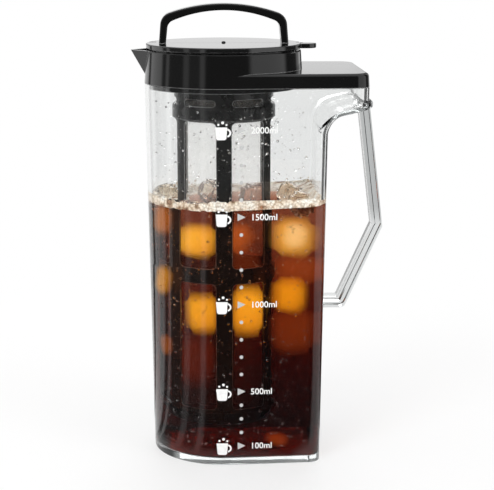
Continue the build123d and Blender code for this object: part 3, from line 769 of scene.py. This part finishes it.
# what surfaces mirror: brightness of the room by direction, in degrees from the front to the right
ROOM = (
    (-180, 1.0), (-144, 1.0), (-141, 0.1), (-136, 0.1), (-133, 1.0), (-105, 1.0), (-101, 0.15),
    (-96, 0.12), (-93, 0.8), (-90, 0.8), (-87, 0.12), (-64, 0.12), (-61, 0.6), (-55, 0.6),
    (-52, 0.15), (-38, 0.15), (-35, 0.7), (-31, 0.7), (-27, 0.05), (34, 0.05), (40, 1.0), (96, 1.0),
    (104, 0.06), (130, 0.06), (135, 0.5), (141, 0.5), (146, 1.0), (152, 1.0), (155, 0.05),
    (169, 0.05), (172, 1.0), (180, 1.0),
)

# what clear parts show where they bend light: dark flags at both sides of the white backdrop
FLAGS = (
    (-180, 1.0), (-132, 1.0), (-128, 0.35), (-112, 0.35), (-106, 1.0), (100, 1.0), (106, 0.03),
    (140, 0.03), (146, 1.0), (180, 1.0),
)


def by_direction(m, where, table):
    """Brightness round the object, from a table of directions."""
    x, y, _ = m.axes(where)
    turn = m.math("DIVIDE", m.math("ARCTAN2", x, m.math("MULTIPLY", y, -1.0)), math.tau)
    return m.ramp(m.math("ADD", turn, 0.5), [(angle / 360.0 + 0.5, light) for angle, light in table])


def room_light(m, where):
    """Studio as surfaces mirror it: soft boxes and dark gaps all round, and one soft box overhead."""
    overhead = m.remap(m.axes(where)[2], 0.60, 0.72)
    return m.math("MAXIMUM", by_direction(m, where, ROOM), overhead)


def ray_kinds(m):
    """1 for rays that come straight or through clear parts, and 1 for rays that were mirrored."""
    path = m.add("ShaderNodeLightPath").outputs
    through = m.math("MINIMUM", path["Transmission Depth"], 1.0)
    glossy = m.math("MINIMUM", path["Glossy Depth"], 1.0)
    bounced = m.math("MULTIPLY", glossy, m.math("SUBTRACT", 1.0, through))
    direct = m.math("MAXIMUM", path["Is Camera Ray"], path["Is Transmission Ray"])
    seen = m.math("MAXIMUM", direct, through)
    lit = m.math("SUBTRACT", 1.0, path["Is Diffuse Ray"])
    straight = m.math("MULTIPLY", m.math("MULTIPLY", seen, lit), m.math("SUBTRACT", 1.0, bounced))
    return straight, m.math("MULTIPLY", bounced, lit)


def backdrop(m, where, near=0.0):
    """White as it is looked at, and with the dark flags for light that comes through clear parts.

    Rays that were mirrored inside a clear part find the viewer's side nearly dark. Near is how far
    a place is white to all rays.
    """
    path = m.add("ShaderNodeLightPath").outputs
    bright = m.math("MAXIMUM", path["Is Camera Ray"], near)
    ahead = m.math("LESS_THAN", m.axes(where)[1], 0.0)
    mirrored = m.math("MINIMUM", path["Glossy Depth"], 1.0)
    lit = m.math("SUBTRACT", 1.0, m.math("MULTIPLY", 0.9, m.math("MULTIPLY", ahead, mirrored)))
    return m.math("MAXIMUM", bright, m.math("MULTIPLY", lit, by_direction(m, where, FLAGS)))


def white_floor():
    """Pale round floor that keeps the object's shadow and fades into the white background, with a
    painted shadow under the jug.
    """
    bm = bmesh.new()
    bmesh.ops.create_circle(bm, cap_ends=True, segments=96, radius=FLOOR_RADIUS)
    bmesh.ops.translate(bm, verts=bm.verts, vec=(0, 0, -FLOOR_DROP))
    floor = mesh_object("floor", bm, smooth=False)

    m = new_material("floor_white")
    where = m.coords()
    away = m.length(where)
    footprint = m.mapped(where, (1.0, 1.14, 0.0), (-0.0066, 0.0, 0.0))
    # painted shadow: 0 under the jug, where the floor is dark and shows no white
    outside_painted_shadow = m.remap(m.length(footprint), 0.030, 0.050)
    shader = m.shader(Base_Color=(FLOOR_GREY, FLOOR_GREY, FLOOR_GREY), Roughness=0.5)
    m.join(m.ramp(outside_painted_shadow, [(0.0, PAINTED_SHADOW_GREY), (1.0, FLOOR_GREY)]), shader.inputs["Base Color"])
    near = m.remap(away, FLOOR_RADIUS * 0.2, FLOOR_RADIUS * 0.5, 1.0, 0.0)
    white = m.add("ShaderNodeEmission", Color=backdrop(m, where, near))
    beside = m.remap(away, 0.055, 0.080, 0.9, 0.0)
    room = m.add("ShaderNodeEmission", Color=m.math("MAXIMUM", room_light(m, where), beside))
    straight, mirrored = ray_kinds(m)
    fade = m.remap(away, FLOOR_RADIUS * 0.2, FLOOR_RADIUS * 0.85, 0.6)
    shown_white = m.math("MULTIPLY", straight, m.math("MULTIPLY", fade, outside_painted_shadow))
    shown = m.blend(shown_white, shader.outputs["BSDF"], white.outputs["Emission"])
    assign(floor, m.finish(m.blend(mirrored, shown, room.outputs["Emission"])))


def white_world():
    """White to the camera and through clear parts, the room to what is mirrored, and soft light."""
    world = bpy.data.worlds.new("studio")
    bpy.context.scene.world = world
    m = Nodes(world, "ShaderNodeOutputWorld")
    where = m.coords("Generated")
    soft = m.add("ShaderNodeBackground", Color=(1.0, 1.0, 1.0), Strength=SOFT_LIGHT)
    white = m.add("ShaderNodeBackground", Color=backdrop(m, where))
    room = m.add("ShaderNodeBackground", Color=room_light(m, where))
    straight, mirrored = ray_kinds(m)
    shown = m.blend(straight, soft.outputs["Background"], white.outputs["Background"])
    m.finish(m.blend(mirrored, shown, room.outputs["Background"]))


def area_lamp(name, place, size, power):
    data = bpy.data.lights.new(name, "AREA")
    data.shape = "RECTANGLE"
    data.size, data.size_y = size
    data.energy = power
    lamp = new_object(name, data)
    lamp.location = place
    lamp.rotation_euler = (Vector(LAMP_TARGET) - Vector(place)).to_track_quat("-Z", "Y").to_euler()
    lamp.visible_glossy = False


def studio():
    white_floor()
    white_world()
    area_lamp("key", (-0.7, -0.9, 0.9), (0.5, 0.9), 9.0)
    area_lamp("fill", (0.9, -0.7, 0.6), (0.5, 0.9), 5.0)
    area_lamp("back", (0.1, 1.1, 0.8), (1.2, 0.8), 9.0)


def camera():
    data = bpy.data.cameras.new("camera")
    data.lens = LENS
    data.sensor_width = SENSOR
    data.sensor_fit = "HORIZONTAL"
    obj = new_object("camera", data)
    obj.location = CAMERA
    obj.rotation_euler = LOOK.to_track_quat("-Z", "Y").to_euler()
    bpy.context.scene.camera = obj


# ---- the whole scene -------------------------------------------------------------------------

def dress(nodes):
    """Gives each CAD piece its material."""
    clear = jug_plastic("clear_jug")
    bar = bar_plastic("clear_handle")
    lid = black_gloss("lid_black")
    cap_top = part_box("cap_disc")[1].z / MM
    # painted shade in the cap's recesses, 0.6 mm below its top
    cap = black_gloss("cap_black", roughness=(0.03, 0.09), painted_shade_below=cap_top - 0.6, ior=1.6)
    bail = black_gloss("bail_black", roughness=(0.08, 0.18))
    basket = black_gloss("basket_black", (0.008, 0.0078, 0.0075), (0.2, 0.35), 0.1)
    screen = mesh_screen("filter_screen", radius=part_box("filter_mesh")[1].x)
    seal = soft_rubber("seal_rubber", (0.03, 0.03, 0.03))
    looks = {
        "jug_body": clear, "jug_handle": bar, "lid_collar": lid, "cap_plug": lid,
        "cap_disc": cap, "bail_handle": bail, "basket_frame": basket, "filter_mesh": screen,
        "lid_gasket": seal, "cap_seal": seal, "vent_plug": seal,
    }
    for name, material in looks.items():
        assign(nodes[name], material)


def main():
    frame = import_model()
    bpy.context.scene.view_settings.view_transform = "Standard"
    # enough for light that goes through clear walls and is mirrored inside them
    cycles = bpy.context.scene.cycles
    cycles.transparent_max_bounces = 24
    cycles.transmission_bounces = 16
    cycles.glossy_bounces = 14
    cycles.max_bounces = 20
    dress(frame["nodes"])
    printed_scale(printed_ink("scale_ink", 0.93), printed_ink("pointer_ink", 0.55))
    coffee_body(coffee_liquid("coffee"))
    froth = foam_cream("foam")
    foam_ring(froth)
    bubbles(froth)
    ice_cubes()
    droplets(clear_water("water"))
    studio()
    camera()


main()
